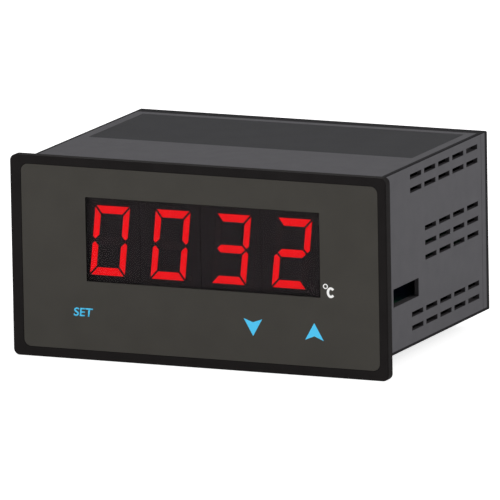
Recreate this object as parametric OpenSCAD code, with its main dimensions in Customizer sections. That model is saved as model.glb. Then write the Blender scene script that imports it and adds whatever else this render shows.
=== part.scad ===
// Digital panel meter for a 192 x 96 mm front, with a four-digit display.
// Origin: centre of the bezel flange's rear face, which lies on the panel.
// +X is right as seen from the front, +Y runs back into the panel, +Z is up.

/* [Bezel] */
// Width of the bezel
bezel_w = 192; // [188:1:200]
// Height of the bezel
bezel_h = 96; // [94:1:104]
// Thickness of the bezel flange in front of the panel
bezel_t = 5; // [4.5:0.25:7]
// Radius of the bezel's outer corners
bezel_corner_r = 3; // [2:0.5:6]
// Chamfer round the bezel's front edge
bezel_chamfer = 0.5; // [0.4:0.1:1.2]
// Thickness of the bezel's front wall
bezel_wall = 3.4; // [3.2:0.1:3.8]
// How far the spigot reaches into the case
spigot_depth = 12; // [10:0.5:13]
// Wall of the spigot
spigot_wall = 2; // [1.6:0.1:2.4]
// How deep the case's front edge sits in the flange
rebate_depth = 0.8; // [0.4:0.1:1.2]

/* [Front film] */
// Mean border of the bezel at the film's two sides
film_side_margin = 5; // [4.4:0.2:7]
// Mean border of the bezel above and below the film
film_end_margin = 4.4; // [4:0.2:6]
// Sideways place of the film's centre
film_x = 0.7; // [-1:0.1:1]
// Height of the film's centre
film_z = 0.3; // [-0.5:0.1:0.5]
// Radius of the film's corners
film_corner_r = 3.5; // [2:0.5:6]
// Thickness of the film
film_t = 0.5; // [0.3:0.05:0.6]
// How far the film lies below the bezel's front face
film_step = 0.1; // [0.05:0.05:0.3]

/* [Display] */
// Sideways place of the digits' centre
display_x = 0.4; // [-2:0.2:2]
// Height of the digits' centre
display_z = 9.2; // [8:0.1:10]
// Sideways place of the clear window's centre
window_x = 2.3; // [0:0.1:2.5]
// Height of the clear window's centre
window_z = 9.7; // [9:0.1:10]
// Width of the clear window
window_w = 119.5; // [114:0.5:121]
// Height of the clear window
window_h = 40.2; // [37:0.1:41]
// Thickness of the window pane's flange
pane_t = 1.6; // [1.2:0.1:1.8]
// Height of a digit
digit_h = 33.5; // [30:0.5:35]
// Width of a digit
digit_w = 18; // [16:0.5:19]
// Spacing of the digits
digit_pitch = 31; // [30:0.25:31]
// Lean of the digits, in degrees
digit_slant = 6; // [0:1:8]
// Height of a lying bar
bar_h = 3.9; // [3:0.1:4.6]
// Width of a standing bar
bar_w = 3.3; // [2.6:0.1:4]
// Gap between neighbouring bars
bar_gap = 0.7; // [0.4:0.05:0.9]
// Diameter of the decimal point
point_d = 3.2; // [2.4:0.2:3.6]
// Depth of the light bars
bar_depth = 3; // [2:0.5:5]
// Height of a digit module's body
module_h = 42; // [40:0.5:42]
// Depth of a digit module's body
module_d = 9.5; // [8.5:0.5:10.5]

/* [Keys] */
// Distance from the display board's left edge to the set key
set_key_inset = 18.5; // [16:0.5:24]
// Distance from the display board's right edge to the up key
up_key_inset = 20; // [17:0.5:24]
// Spacing of the up and down keys
key_spacing = 31; // [27:0.5:33]
// Height of the keys' centres above the case's underside
key_rise = 14.5; // [12:0.5:17]
// Diameter of a key's button
button_d = 9.4; // [8:0.2:10]
// Thickness of a key's button
button_t = 1.2; // [1:0.1:1.3]
// Diameter of a button's stem
button_stem_d = 4.1; // [3.6:0.1:4.6]
// Travel of a key
key_travel = 0.3; // [0.2:0.05:0.4]
// Side of a key switch's square base
switch_w = 12; // [10:0.5:12]
// Height of a key switch's base above the board
switch_h = 3.6; // [3.4:0.1:4]
// Diameter of a key switch's plunger
switch_plunger_d = 6.8; // [6:0.2:7.2]

/* [Case] */
// Width of the case
case_w = 180; // [176:1:182]
// Height of the case
case_h = 86; // [83:1:87]
// How far the case's centre lies above the bezel's centre
case_rise = 3; // [1:0.5:3.5]
// Depth of the meter behind the panel's front face
body_depth = 130; // [128:1:150]
// Wall of the case
case_wall = 2.2; // [2:0.1:2.4]
// Radius of the case's long edges
case_corner_r = 0.8; // [0.6:0.1:1.6]
// Depth of the rear cover
cover_depth = 7.5; // [6.5:0.5:9]
// Thickness of the rear cover's end wall
cover_wall = 2.5; // [2:0.1:2.8]

/* [Vents] */
// Length of a vent slot
vent_l = 13.4; // [11:0.2:14.4]
// Height of a vent slot
vent_h = 2.4; // [1.6:0.1:2.6]
// Spacing of the slots along a row
vent_pitch = 16.8; // [16:0.2:17]
// Least distance from the last slot to the case's rear edge
vent_rear_land = 4; // [3:0.5:6]
// Distance from the panel to the first slot
vent_start = 37.5; // [36:0.5:38]
// Spacing of the rows in the upper and lower pairs
vent_pair_pitch = 6.5; // [5:0.5:6.5]
// Spacing of the three middle rows
vent_middle_pitch = 7; // [5:0.5:7]
// Distance from the case's top to the first row
vent_top_margin = 5.3; // [4:0.1:6]
// Distance from the case's bottom to the last row
vent_bottom_margin = 8.7; // [8:0.1:10]
// Height of the middle rows' centre
vent_middle_z = 6.3; // [6:0.1:9]

/* [Clamp windows] */
// Length of a clamp window
clamp_l = 30; // [24:1:30]
// Height of a clamp window
clamp_h = 8.7; // [7:0.1:8.7]
// Distance from the panel to a clamp window's centre
clamp_y = 31; // [30:0.5:34]
// Height of a clamp window's centre above the case's underside
clamp_rise = 26.9; // [26.7:0.1:29]

/* [Top label] */
// Width of the label on top of the case
label_w = 166; // [120:1:170]
// Depth of the label, front to back
label_l = 62; // [40:1:66]
// Distance from the label's rear edge to the meter's rear face
label_rear_margin = 12; // [9:0.5:14]
// Thickness of the label
label_t = 0.35; // [0.2:0.05:0.5]

/* [Boards] */
// Thickness of the circuit boards
board_t = 1.6; // [1.2:0.1:1.7]
// Room beside the display board inside the spigot
display_board_side_room = 7.6; // [7:0.2:9.5]
// Room above and below the display board inside the spigot
display_board_end_room = 1.6; // [1.2:0.1:2.5]
// Height of the main board's underside above the case floor
main_board_lift = 16.95; // [16.6:0.05:17.2]
// Distance from the panel to the main board's front edge
main_board_front = 18; // [17:0.5:20]
// How far the card guides stand out from the case wall
guide_reach = 2.6; // [2:0.2:3.4]
// Thickness of a card guide rib
guide_t = 1.2; // [1:0.1:1.3]

/* [Terminals] */
// Spacing of the terminals
terminal_pitch = 7.62; // [7:0.02:7.7]
// Terminals in each block
terminal_ways = 10; // [6:1:10]
// Height of a terminal block
terminal_h = 17.2; // [16.5:0.1:18]
// Depth of a terminal block
terminal_d = 19; // [17:0.5:21]
// How far the blocks stand out of the rear cover
terminal_proud = 1; // [0.5:0.25:2]
// Side of a wire entry
wire_entry = 3.6; // [3:0.1:3.8]
// Diameter of a terminal screw's head
terminal_screw_d = 3.5; // [3:0.1:3.7]

/* [Power supply] */
// Width of the transformer's core
core_w = 41; // [36:1:44]
// Height of the transformer's core
core_h = 34; // [30:1:38]
// Thickness of the core's lamination stack
core_stack = 15; // [12:1:18]
// Diameter of the large filter capacitor
capacitor_large_d = 16; // [12:1:18]
// Height of the large filter capacitor
capacitor_large_h = 31; // [24:1:34]
// Diameter of the small filter capacitor
capacitor_small_d = 10; // [8:1:12]
// Height of the small filter capacitor
capacitor_small_h = 20; // [16:1:25]
// Height of the regulator's heat sink
sink_h = 25; // [22:1:32]
// Length of an alarm relay
relay_l = 28.5; // [26:0.5:29.5]
// Height of an alarm relay
relay_h = 15.5; // [12:0.5:20]

/* [Hidden] */
$fn = 48;
fit = 0.2;              // all round, between moulded parts that slide together
screw_fit = 0.05;       // on the radius, between a screw and its hole
running_fit = 0.05;     // on the radius, between a button's stem and its guide
cut = 1;                // how far a cutting shape overshoots the face it cuts
digits = 4;

// Bezel stack, front to back
front_y = -bezel_t;
film_y = front_y + film_step;
film_floor_y = film_y + film_t;
inner_floor_y = front_y + bezel_wall;
pane_back_y = film_floor_y + pane_t;
display_gap = 0.4;
digit_y = pane_back_y + display_gap;
display_board_y = digit_y + module_d;
display_board_back_y = display_board_y + board_t;
film_w = bezel_w - 2 * film_side_margin;
film_h = bezel_h - 2 * film_end_margin;
pane_lip = 5.5;
pane_edge_fit = 0.1;
pane_bond = 0.05;       // adhesive behind the pane

// Case and cover
case_z0 = case_rise - case_h / 2;
case_z1 = case_rise + case_h / 2;
case_front_y = -rebate_depth;
case_back_y = body_depth - cover_depth;
inner_w = case_w - 2 * case_wall;
inner_h = case_h - 2 * case_wall;
floor_z = case_z0 + case_wall;
ceiling_z = case_z1 - case_wall;
spigot_w = inner_w - 2 * fit;
spigot_h = inner_h - 2 * fit;
spigot_inner_w = spigot_w - 2 * spigot_wall;
spigot_inner_h = spigot_h - 2 * spigot_wall;
clamp_z = case_z0 + clamp_rise;
// As many slots in a row as end before the rear edge
vent_columns = floor((case_back_y - vent_rear_land - vent_start + vent_pitch - vent_l) / vent_pitch);

// Corner screws
boss_inset = 4.2;
boss_r = 4.4;
corner_x = inner_w / 2 - boss_inset;
corner_dz = inner_h / 2 - boss_inset;
tube_r = 3.6;
case_screw_d = 3;
front_boss_l = 18;
rear_boss_l = 18;
bezel_screw_l = 25;
bezel_screw_head_d = 5.6;
bezel_screw_cone = (bezel_screw_head_d - case_screw_d) / 2;
bezel_screw_y = film_floor_y + 0.15;
bezel_screw_head_fit = 0.1;     // on the radius, round the countersunk head
cover_screw_l = 15;
cover_screw_head_d = 5.6;
cover_screw_head_t = 1.9;

// Display board and its pillars
display_board_w = spigot_inner_w - 2 * display_board_side_room;
display_board_h = spigot_inner_h - 2 * display_board_end_room;
pillar_r = 3;
pillar_x = display_board_w / 2 - 5;
pillar_dz = display_board_h / 2 - 4.5;
board_screw_d = 2.5;
board_screw_l = 7;
board_screw_head_d = 4.6;
board_screw_head_t = 1.6;

// Keys
set_key_x = set_key_inset - display_board_w / 2;
up_key_x = display_board_w / 2 - up_key_inset;
down_key_x = up_key_x - key_spacing;
key_xs = [set_key_x, down_key_x, up_key_x];
key_z = case_z0 + key_rise;
film_clearance = 0.1;
button_y = film_floor_y + film_clearance;
button_back_y = button_y + button_t;
key_well_d = button_d + 0.6;
key_well_y = button_back_y + key_travel + 0.2;
key_guide_y = 1;
key_guide_wall = 1.4;
plunger_y = 1.4;
switch_y = display_board_y - switch_h;
dome_r = 2.5;
dome_rise = 0.3;
dome_t = 0.12;
dome_base_y = display_board_y - 0.8;
plunger_back_y = dome_base_y - dome_rise - dome_t - key_travel - 0.1;

// Boards
main_board_z = floor_z + main_board_lift;
deck_z = main_board_z + board_t;
main_board_w = inner_w - 0.8;
main_board_back = body_depth - cover_wall - 1;
guide_front = spigot_depth + 2;
guide_back = case_back_y - 4.5;
guide_slack = 0.3;

// Terminals
block_end = 0.8;
block_w = terminal_ways * terminal_pitch + 2 * block_end;
block_gap = 1.4;
block_x = (block_w + block_gap) / 2;
block_back_y = body_depth + terminal_proud;
block_front_y = block_back_y - terminal_d;
wire_z = deck_z + 5;
terminal_screw_z = deck_z + 12.3;
cage_w = 5.2;
cage_l = 5.8;
cage_h = 10;
cage_y = block_back_y - 9.2;
cage_z = deck_z + 1.4;
cage_fit = 0.1;
terminal_shank_d = 2.6;
screw_head_sink = 0.9;
screw_head_t = 1.6;

// Places of the parts on the main board: the supply keeps its distance from the terminals,
// and the signal parts keep theirs from the board's front edge
transformer_at = [-48, block_front_y - 34];
capacitor_large_at = [-8, block_front_y - 20];
capacitor_small_at = [12, block_front_y - 16];
bridge_at = [-10, block_front_y - 40];
regulator_at = [14, block_front_y - 42];
relay_ats = [[42, block_front_y - 30], [58, block_front_y - 30]];
fuse_at = [-46, block_front_y - 8];
varistor_at = [-74, block_front_y - 16];
controller_at = [10, main_board_front + 22];
crystal_at = [37, main_board_front + 18];
amplifier_at = [56, main_board_front + 30];
link_pins = 16;
link_pitch = 2.54;
link_w = link_pins * link_pitch + 1.2;
link_z = deck_z + 3.4;
link_socket_l = 8.5;
link_socket_h = 5;

// ---- Shared shapes ----

// Extrudes a flat outline, drawn with its Y as height, from y0 back to y1
module along_y(y0, y1) {
    translate([0, y1, 0]) rotate([90, 0, 0]) linear_extrude(y1 - y0) children();
}

// A rectangle with round corners, centred
module round_rect(w, h, r) {
    square([w - 2 * r, h], center = true);
    square([w, h - 2 * r], center = true);
    for (x = [-1, 1], z = [-1, 1])
        translate([x * (w / 2 - r), z * (h / 2 - r)]) circle(r);
}

// A box given by its two ends on each axis
module span(x, y, z) {
    translate([x[0], y[0], z[0]]) cube([x[1] - x[0], y[1] - y[0], z[1] - z[0]]);
}

// A round bar along Y from y0 to y1
module rod(d, y0, y1) {
    translate([0, y1, 0]) rotate([90, 0, 0]) cylinder(d = d, h = y1 - y0);
}

// A cone frustum along Y, d0 wide at y0 and d1 wide at y1
module taper(d0, d1, y0, y1) {
    translate([0, y1, 0]) rotate([90, 0, 0]) cylinder(d1 = d1, d2 = d0, h = y1 - y0);
}

// A standing plate with round corners and a chamfered front edge, from y0 to y1
module chamfered_plate(w, h, r, y0, y1, c) {
    along_y(y0 + c, y1) round_rect(w, h, r);
    sx = w / 2 - r;
    sz = h / 2 - r;
    // The straight runs of the chamfer, sides first and then top and bottom
    translate([0, 0, -sz]) linear_extrude(2 * sz)
        polygon([[-w / 2 + c, y0], [w / 2 - c, y0], [w / 2, y0 + c], [-w / 2, y0 + c]]);
    translate([-sx, 0, 0]) rotate([90, 0, 90]) linear_extrude(2 * sx)
        polygon([[y0, -h / 2 + c], [y0, h / 2 - c], [y0 + c, h / 2], [y0 + c, -h / 2]]);
    for (x = [-sx, sx], z = [-sz, sz])
        translate([x, 0, z]) taper(2 * (r - c), 2 * r, y0, y0 + c);
}

// Repeats its children at the case's four corner screws
module at_corners() {
    for (x = [-corner_x, corner_x], dz = [-corner_dz, corner_dz])
        translate([x, 0, case_rise + dz]) children();
}

// Repeats its children at the display board's six pillars
module at_pillars() {
    for (x = [-pillar_x, 0, pillar_x], dz = [-pillar_dz, pillar_dz])
        translate([x, 0, case_rise + dz]) children();
}

// ---- Front ----

module front_bezel() {
    opening_w = digits * digit_pitch + 1.2;
    opening_h = module_h + 1.2;
    color("#221f1e") difference() {
        union() {
            difference() {
                chamfered_plate(bezel_w, bezel_h, bezel_corner_r, front_y, 0, bezel_chamfer);
                // Hollow behind the front wall
                translate([0, 0, case_rise]) along_y(inner_floor_y, cut)
                    square([spigot_inner_w, spigot_inner_h], center = true);
            }
            // Spigot that plugs into the case
            translate([0, 0, case_rise]) along_y(-cut, spigot_depth) difference() {
                square([spigot_w, spigot_h], center = true);
                square([spigot_inner_w, spigot_inner_h], center = true);
            }
            at_corners() rod(2 * tube_r, inner_floor_y - cut / 2, spigot_depth);
            at_pillars() rod(2 * pillar_r, inner_floor_y - cut / 2, display_board_y);
            for (x = key_xs) translate([x, 0, key_z])
                rod(button_stem_d + 2 * (running_fit + key_guide_wall), inner_floor_y - cut / 2,
                    key_guide_y);
        }
        // Rebate for the case's front edge
        translate([0, 0, case_rise]) along_y(case_front_y, cut) difference() {
            round_rect(case_w + 2 * fit, case_h + 2 * fit, case_corner_r + fit);
            square([spigot_w, spigot_h], center = true);
        }
        // Recess for the film, with the pocket for the pane in its floor
        translate([film_x, 0, film_z]) along_y(front_y - cut, film_floor_y)
            round_rect(film_w + 2 * fit, film_h + 2 * fit, film_corner_r + fit);
        translate([window_x, 0, window_z]) along_y(front_y, pane_back_y + pane_bond)
            square([window_w + 2 * (pane_lip + fit), window_h + 2 * (pane_lip + fit)],
                center = true);
        translate([display_x, 0, display_z]) along_y(front_y, cut)
            square([opening_w, opening_h], center = true);
        for (x = key_xs) translate([x, 0, key_z]) {
            rod(key_well_d, front_y, key_well_y);
            rod(button_stem_d + 2 * running_fit, front_y, key_guide_y + cut);
        }
        at_corners() {
            rod(case_screw_d + 2 * screw_fit, front_y, spigot_depth + cut);
            rod(bezel_screw_head_d + 2 * bezel_screw_head_fit, front_y, bezel_screw_y);
            taper(bezel_screw_head_d + 2 * bezel_screw_head_fit,
                case_screw_d + 2 * bezel_screw_head_fit,
                bezel_screw_y, bezel_screw_y + bezel_screw_cone);
        }
        at_pillars() rod(board_screw_d + 2 * screw_fit, inner_floor_y + 0.6, display_board_y + cut);
    }
}

module front_film() {
    color("#42403c") along_y(film_y, film_floor_y) difference() {
        translate([film_x, film_z]) round_rect(film_w, film_h, film_corner_r);
        translate([window_x, window_z]) square([window_w, window_h], center = true);
    }
}

module display_pane() {
    color("#2a2225", 0.5) translate([window_x, 0, window_z]) {
        along_y(film_floor_y, pane_back_y)
            square([window_w + 2 * pane_lip, window_h + 2 * pane_lip], center = true);
        along_y(film_y, film_floor_y)
            square([window_w - 2 * pane_edge_fit, window_h - 2 * pane_edge_fit], center = true);
    }
}

module bezel_screws() {
    y = bezel_screw_y;
    slot_w = 0.9;
    color("silver") at_corners() difference() {
        union() {
            taper(bezel_screw_head_d, case_screw_d, y, y + bezel_screw_cone);
            rod(case_screw_d, y + bezel_screw_cone / 2, y + bezel_screw_l);
        }
        for (a = [0, 90]) rotate([0, a, 0])
            span([-1.5, 1.5], [y - cut, y + 0.8], [-slot_w / 2, slot_w / 2]);
    }
}

// ---- Keys ----

// A button under the film, with the stem that reaches its switch
module key_button(x) {
    color("#2d2b2a") translate([x, 0, key_z]) {
        rod(button_d, button_y, button_back_y);
        rod(button_stem_d, button_back_y - 0.1, plunger_y);
    }
}

module switch_plunger(x) {
    collar_d = switch_plunger_d - 1.6;
    color("#38363a") translate([x, 0, key_z]) {
        rod(collar_d, plunger_y, switch_y);
        rod(switch_plunger_d, switch_y - 0.6, plunger_back_y);
    }
}

module switch_base(x) {
    leg = 0.8;
    color("#1c1b1d") translate([x, 0, key_z]) {
        difference() {
            along_y(switch_y, display_board_y) round_rect(switch_w, switch_w, 0.8);
            rod(switch_plunger_d + 2 * running_fit + 0.1, switch_y - cut, dome_base_y);
            for (sx = [-1, 1], sz = [-1, 1])
                translate([sx * (switch_w / 2 - 1.5), 0, sz * (switch_w / 2 - 1.5)])
                    rod(1.2, switch_y - cut, switch_y + 0.4);
        }
        // Four legs folded down on the board
        for (sx = [-1, 1], sz = [-1, 1])
            span(sx > 0 ? [switch_w / 2, switch_w / 2 + leg] : [-switch_w / 2 - leg, -switch_w / 2],
                [display_board_y - 1.4, display_board_y], [sz * 2.5 - leg / 2, sz * 2.5 + leg / 2]);
    }
}

// Radius of a snap dome's sphere, and the height of its underside at a radius
function dome_ball() = (dome_r * dome_r + dome_rise * dome_rise) / (2 * dome_rise);
function dome_height(r) =
    sqrt(dome_ball() * dome_ball() - r * r) - (dome_ball() - dome_rise);

module switch_domes() {
    steps = 6;
    rim = dome_r + 0.3;
    radii = [for (i = [0 : steps]) dome_r * i / steps];
    top = [for (r = radii) [r, dome_height(r) + dome_t]];
    under = [for (i = [steps : -1 : 0]) [radii[i], dome_height(radii[i])]];
    color("lightgray") for (x = key_xs)
        translate([x, dome_base_y, key_z]) rotate([90, 0, 0])
            rotate_extrude() polygon(concat(top, [[rim, dome_t], [rim, 0]], under));
}

// ---- Display ----

// Leans a point of a digit's outline
function lean(p) = [p[0] + p[1] * tan(digit_slant), p[1]];

// Outlines of the seven bars, in the order top, upper left, upper right, middle, lower left,
// lower right, bottom. Each is larger by grow all round, for the well that holds it.
function bars(grow) =
    let (w = digit_w / 2 + grow, h = digit_h / 2 + grow,
        t = bar_h + 2 * grow, v = bar_w + 2 * grow, g = bar_gap - 2 * grow,
        run = sqrt(t * t + v * v), sx = g / 2 * run / t, sz = g / 2 * run / v,
        tip = 0.38 * v, q = g / sqrt(2), m = bar_h / 2 + grow,
        top = [[-w + sx, h], [w - sx, h], [w - v - sx, h - t], [-w + v + sx, h - t]],
        side = [[-w, h - sz], [-w + v, h - t - sz], [-w + v, v - tip + q], [-w + tip, q],
            [-w, tip + q]],
        middle = [[-w + tip + q, 0], [-w + tip + q + m, m], [w - tip - q - m, m],
            [w - tip - q, 0], [w - tip - q - m, -m], [-w + tip + q + m, -m]])
    [top, side, flip_x(side), middle, flip_z(side), flip_x(flip_z(side)), flip_z(top)];
function flip_x(points) = [for (p = points) [-p[0], p[1]]];
function flip_z(points) = [for (p = points) [p[0], -p[1]]];

// The light bars and the decimal point of one digit, from y0 to y1
module digit_bars(grow, y0, y1) {
    for (outline = bars(grow))
        along_y(y0, y1) polygon([for (p = outline) lean(p)]);
    point = lean([digit_w / 2 + point_d / 2 + 0.6, (point_d - digit_h) / 2]);
    translate([point[0], 0, point[1]]) rod(point_d + 2 * grow, y0, y1);
}

// Centre of a digit, counted from the left
function digit_x(i) = display_x + (i - (digits - 1) / 2) * digit_pitch;

module digit_housing(i) {
    foot = 0.6;
    color("#1d1b1c") translate([digit_x(i), 0, display_z]) difference() {
        along_y(digit_y, display_board_y)
            square([digit_pitch - 0.2, module_h], center = true);
        digit_bars(0.04, digit_y - cut, digit_y + bar_depth);
        // Relief under the body, between its corner feet
        along_y(display_board_y - foot, display_board_y + cut) {
            square([digit_pitch - 6, module_h + cut], center = true);
            square([digit_pitch + cut, module_h - 6], center = true);
        }
    }
}

module digit_segments(i) {
    color("#ed1c24") translate([digit_x(i), 0, display_z])
        digit_bars(0, digit_y, digit_y + bar_depth);
}

module display_board() {
    color("#1f4d2b") difference() {
        translate([0, 0, case_rise]) along_y(display_board_y, display_board_back_y)
            square([display_board_w, display_board_h], center = true);
        at_pillars() rod(board_screw_d + 0.4, display_board_y - cut, display_board_back_y + cut);
    }
}

module display_board_screws() {
    y = display_board_back_y;
    color("silver") at_pillars() difference() {
        union() {
            rod(board_screw_head_d, y, y + board_screw_head_t);
            rod(board_screw_d, y - board_screw_l, y + 0.5);
        }
        for (a = [0, 90]) rotate([0, a, 0])
            span([-1.4, 1.4], [y + board_screw_head_t - 0.8, y + board_screw_head_t + cut],
                [-0.4, 0.4]);
    }
}

chip_pitch = 2.54;
chip_end = 0.6;
chip_narrow_w = 6.4;
chip_wide_w = 13.6;

// A dual-in-line chip lying on a board: body, end notch and legs, pins along its length
module chip(w, pins) {
    l = pins / 2 * chip_pitch + 2 * chip_end;
    lift = 0.5;
    body_h = 3.3;
    leg_t = 0.3;
    difference() {
        translate([-l / 2, -w / 2, lift]) cube([l, w, body_h]);
        translate([-l / 2, 0, lift + body_h - 0.6]) cylinder(r = 1.2, h = cut + 0.6);
    }
    for (side = [-1, 1], i = [0 : pins / 2 - 1])
        translate([(i - (pins / 2 - 1) / 2) * chip_pitch - 0.6, side * (w / 2 + leg_t / 2) - leg_t / 2, 0])
            cube([1.2, leg_t, lift + body_h / 2]);
}

module segment_driver_chips() {
    x = display_board_w / 2 - 38;
    color("#202024") for (m = [-1, 1])
        translate([m * x, display_board_back_y, display_z]) rotate([-90, 0, 0])
            chip(chip_narrow_w, 18);
}

module link_socket() {
    y = display_board_back_y;
    hole = 1;
    color("#19191b") difference() {
        translate([0, 0, link_z]) along_y(y, y + link_socket_l)
            square([link_w, link_socket_h], center = true);
        for (i = [0 : link_pins - 1])
            translate([(i - (link_pins - 1) / 2) * link_pitch, 0, link_z])
                span([-hole / 2, hole / 2], [y + 2, y + link_socket_l + cut],
                    [-hole / 2, hole / 2]);
    }
}

// ---- Case ----

// One row of vent slots through a side wall, starting at the given column
module vent_row(z, first) {
    for (i = [first : vent_columns - 1])
        translate([0, vent_start + i * vent_pitch, z - vent_h / 2])
            translate([-case_wall - cut, 0, 0]) cube([case_wall + 2 * cut, vent_l, vent_h]);
}

// The vents and the clamp window of the right-hand wall
module wall_cuts() {
    translate([case_w / 2, 0, 0]) {
        for (i = [0, 1]) {
            vent_row(case_z1 - vent_top_margin - i * vent_pair_pitch, 0);
            vent_row(case_z0 + vent_bottom_margin + i * vent_pair_pitch, 0);
        }
        for (i = [-1 : 1]) vent_row(vent_middle_z + i * vent_middle_pitch, 1);
        span([-case_wall - cut, cut], [clamp_y - clamp_l / 2, clamp_y + clamp_l / 2],
            [clamp_z - clamp_h / 2, clamp_z + clamp_h / 2]);
    }
}

// The two ribs that guide the main board along the right-hand wall
module card_guide() {
    x = [inner_w / 2 - guide_reach, inner_w / 2 + case_wall / 2];
    span(x, [guide_front, guide_back], [main_board_z - guide_t, main_board_z]);
    span(x, [guide_front, guide_back], [deck_z + guide_slack, deck_z + guide_slack + guide_t]);
}

module case() {
    color("#57565a") difference() {
        union() {
            translate([0, 0, case_rise]) along_y(case_front_y, case_back_y) difference() {
                round_rect(case_w, case_h, case_corner_r);
                square([inner_w, inner_h], center = true);
            }
            at_corners() {
                rod(2 * boss_r, spigot_depth + fit, spigot_depth + fit + front_boss_l);
                rod(2 * boss_r, case_back_y - rear_boss_l, case_back_y);
            }
            for (m = [0, 1]) mirror([m, 0, 0]) card_guide();
        }
        for (m = [0, 1]) mirror([m, 0, 0]) wall_cuts();
        at_corners() {
            rod(case_screw_d + 2 * screw_fit, spigot_depth, spigot_depth + front_boss_l - 2);
            rod(case_screw_d + 2 * screw_fit, case_back_y - rear_boss_l + 2, case_back_y + cut);
        }
        // Recess for the top label
        span([-label_w / 2 - fit, label_w / 2 + fit], label_span(fit), [case_z1 - label_t - 0.05,
            case_z1 + cut]);
    }
}

// Front and rear edges of the top label, with room all round
function label_span(room) =
    [body_depth - label_rear_margin - label_l - room, body_depth - label_rear_margin + room];

module top_label() {
    color("#414143") span([-label_w / 2, label_w / 2], label_span(0),
        [case_z1 - label_t - 0.05, case_z1 - 0.05]);
}

module rear_cover() {
    wall_y = body_depth - cover_wall;
    lip_l = 3.5;
    lip_t = 1.5;
    lip_w = inner_w - 36;
    opening_w = 2 * block_w + block_gap + 2 * fit;
    color("#57565a") difference() {
        union() {
            translate([0, 0, case_rise]) {
                along_y(wall_y, body_depth) round_rect(case_w, case_h, case_corner_r);
                along_y(case_back_y, body_depth) difference() {
                    round_rect(case_w, case_h, case_corner_r);
                    square([inner_w, inner_h], center = true);
                }
                // Lips that enter the case along its top and bottom
                for (s = [-1, 1]) {
                    along_y(case_back_y - lip_l, wall_y + 0.5)
                        translate([0, s * (inner_h / 2 - fit - lip_t / 2)])
                            square([lip_w, lip_t], center = true);
                    along_y(case_back_y, wall_y + 0.5)
                        translate([0, s * (inner_h / 2 - lip_t / 2)])
                            square([lip_w, lip_t + fit], center = true);
                }
            }
            at_corners() rod(2 * boss_r, case_back_y, wall_y + 0.5);
        }
        // Opening for the terminal blocks
        span([-opening_w / 2, opening_w / 2], [case_back_y - cut, body_depth + cut],
            [deck_z - fit, deck_z + terminal_h + fit]);
        at_corners() {
            rod(case_screw_d + 2 * screw_fit, case_back_y - cut, body_depth + cut);
            rod(cover_screw_head_d + 0.6, body_depth - cover_screw_head_t - 0.3, body_depth + cut);
        }
    }
}

module rear_cover_screws() {
    seat_y = body_depth - cover_screw_head_t - 0.3;
    top_y = seat_y + cover_screw_head_t;
    color("silver") at_corners() difference() {
        union() {
            rod(cover_screw_head_d, seat_y, top_y);
            rod(case_screw_d, seat_y - cover_screw_l, seat_y + 0.5);
        }
        for (a = [0, 90]) rotate([0, a, 0])
            span([-1.7, 1.7], [top_y - 1, top_y + cut], [-0.45, 0.45]);
    }
}

// ---- Main board and terminals ----

module main_board() {
    color("#1f4d2b") span([-main_board_w / 2, main_board_w / 2],
        [main_board_front, main_board_back], [main_board_z, deck_z]);
}

module link_header() {
    pin = 0.64;
    bar_y = main_board_front + 1;
    bar = 2.5;
    color("#19191b") span([-link_w / 2, link_w / 2], [bar_y, bar_y + bar],
        [link_z - bar / 2, link_z + bar / 2]);
    // Pins reach forward into the socket and bend down to the board
    color("goldenrod") for (i = [0 : link_pins - 1])
        translate([(i - (link_pins - 1) / 2) * link_pitch - pin / 2, 0, 0]) {
            span([0, pin], [display_board_back_y + 3.5, bar_y + bar + 1.8],
                [link_z - pin / 2, link_z + pin / 2]);
            span([0, pin], [bar_y + bar + 1.8 - pin, bar_y + bar + 1.8],
                [deck_z, link_z + pin / 2]);
        }
}

// Centre of a terminal in a block, counted from its left end
function way_x(i) = (i - (terminal_ways - 1) / 2) * terminal_pitch;

// Repeats its children at every terminal of both blocks
module at_terminals() {
    for (b = [-block_x, block_x], i = [0 : terminal_ways - 1])
        translate([b + way_x(i), 0, 0]) children();
}

module terminal_block(x) {
    rib = 1.2;
    panel_depth = 0.6;
    bevel = 2;
    y1 = block_back_y;
    top_z = deck_z + terminal_h;
    color("#2c5f3f") translate([x, 0, 0]) difference() {
        // Side outline, carried along the block
        translate([-block_w / 2, 0, 0]) rotate([90, 0, 90]) linear_extrude(block_w)
            polygon([[block_front_y, deck_z], [y1, deck_z], [y1, top_z - bevel],
                [y1 - bevel, top_z], [block_front_y + bevel, top_z], [block_front_y, top_z - 2 * bevel]]);
        for (i = [0 : terminal_ways - 1]) translate([way_x(i), 0, 0]) {
            // Sunk panel between the ribs
            span([-(terminal_pitch - rib) / 2, (terminal_pitch - rib) / 2],
                [y1 - panel_depth, y1 + cut], [deck_z + 1.4, top_z - bevel - 0.4]);
            translate([0, 0, terminal_screw_z]) {
                rod(terminal_screw_d + 0.4, y1 - panel_depth - screw_head_sink - screw_head_t, y1);
                rod(terminal_shank_d + 0.2, cage_y + cage_fit, y1);
            }
            translate([0, 0, wire_z])
                span([-wire_entry / 2, wire_entry / 2], [cage_y, y1],
                    [-wire_entry / 2, wire_entry / 2]);
            // Chamber of the wire clamp, open towards the board
            span([-cage_w / 2 - cage_fit, cage_w / 2 + cage_fit],
                [cage_y - cage_fit, cage_y + cage_l + cage_fit],
                [deck_z - cut, cage_z + cage_h + cage_fit]);
        }
    }
}

module terminal_screws() {
    seat_y = block_back_y - 0.6 - screw_head_sink - screw_head_t;
    top_y = seat_y + screw_head_t;
    color("silver") at_terminals() translate([0, 0, terminal_screw_z]) difference() {
        union() {
            rod(terminal_screw_d, seat_y, top_y);
            rod(terminal_shank_d, cage_y + 1, seat_y + 0.5);
        }
        span([-terminal_screw_d, terminal_screw_d], [top_y - 0.8, top_y + cut], [-0.35, 0.35]);
    }
}

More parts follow.
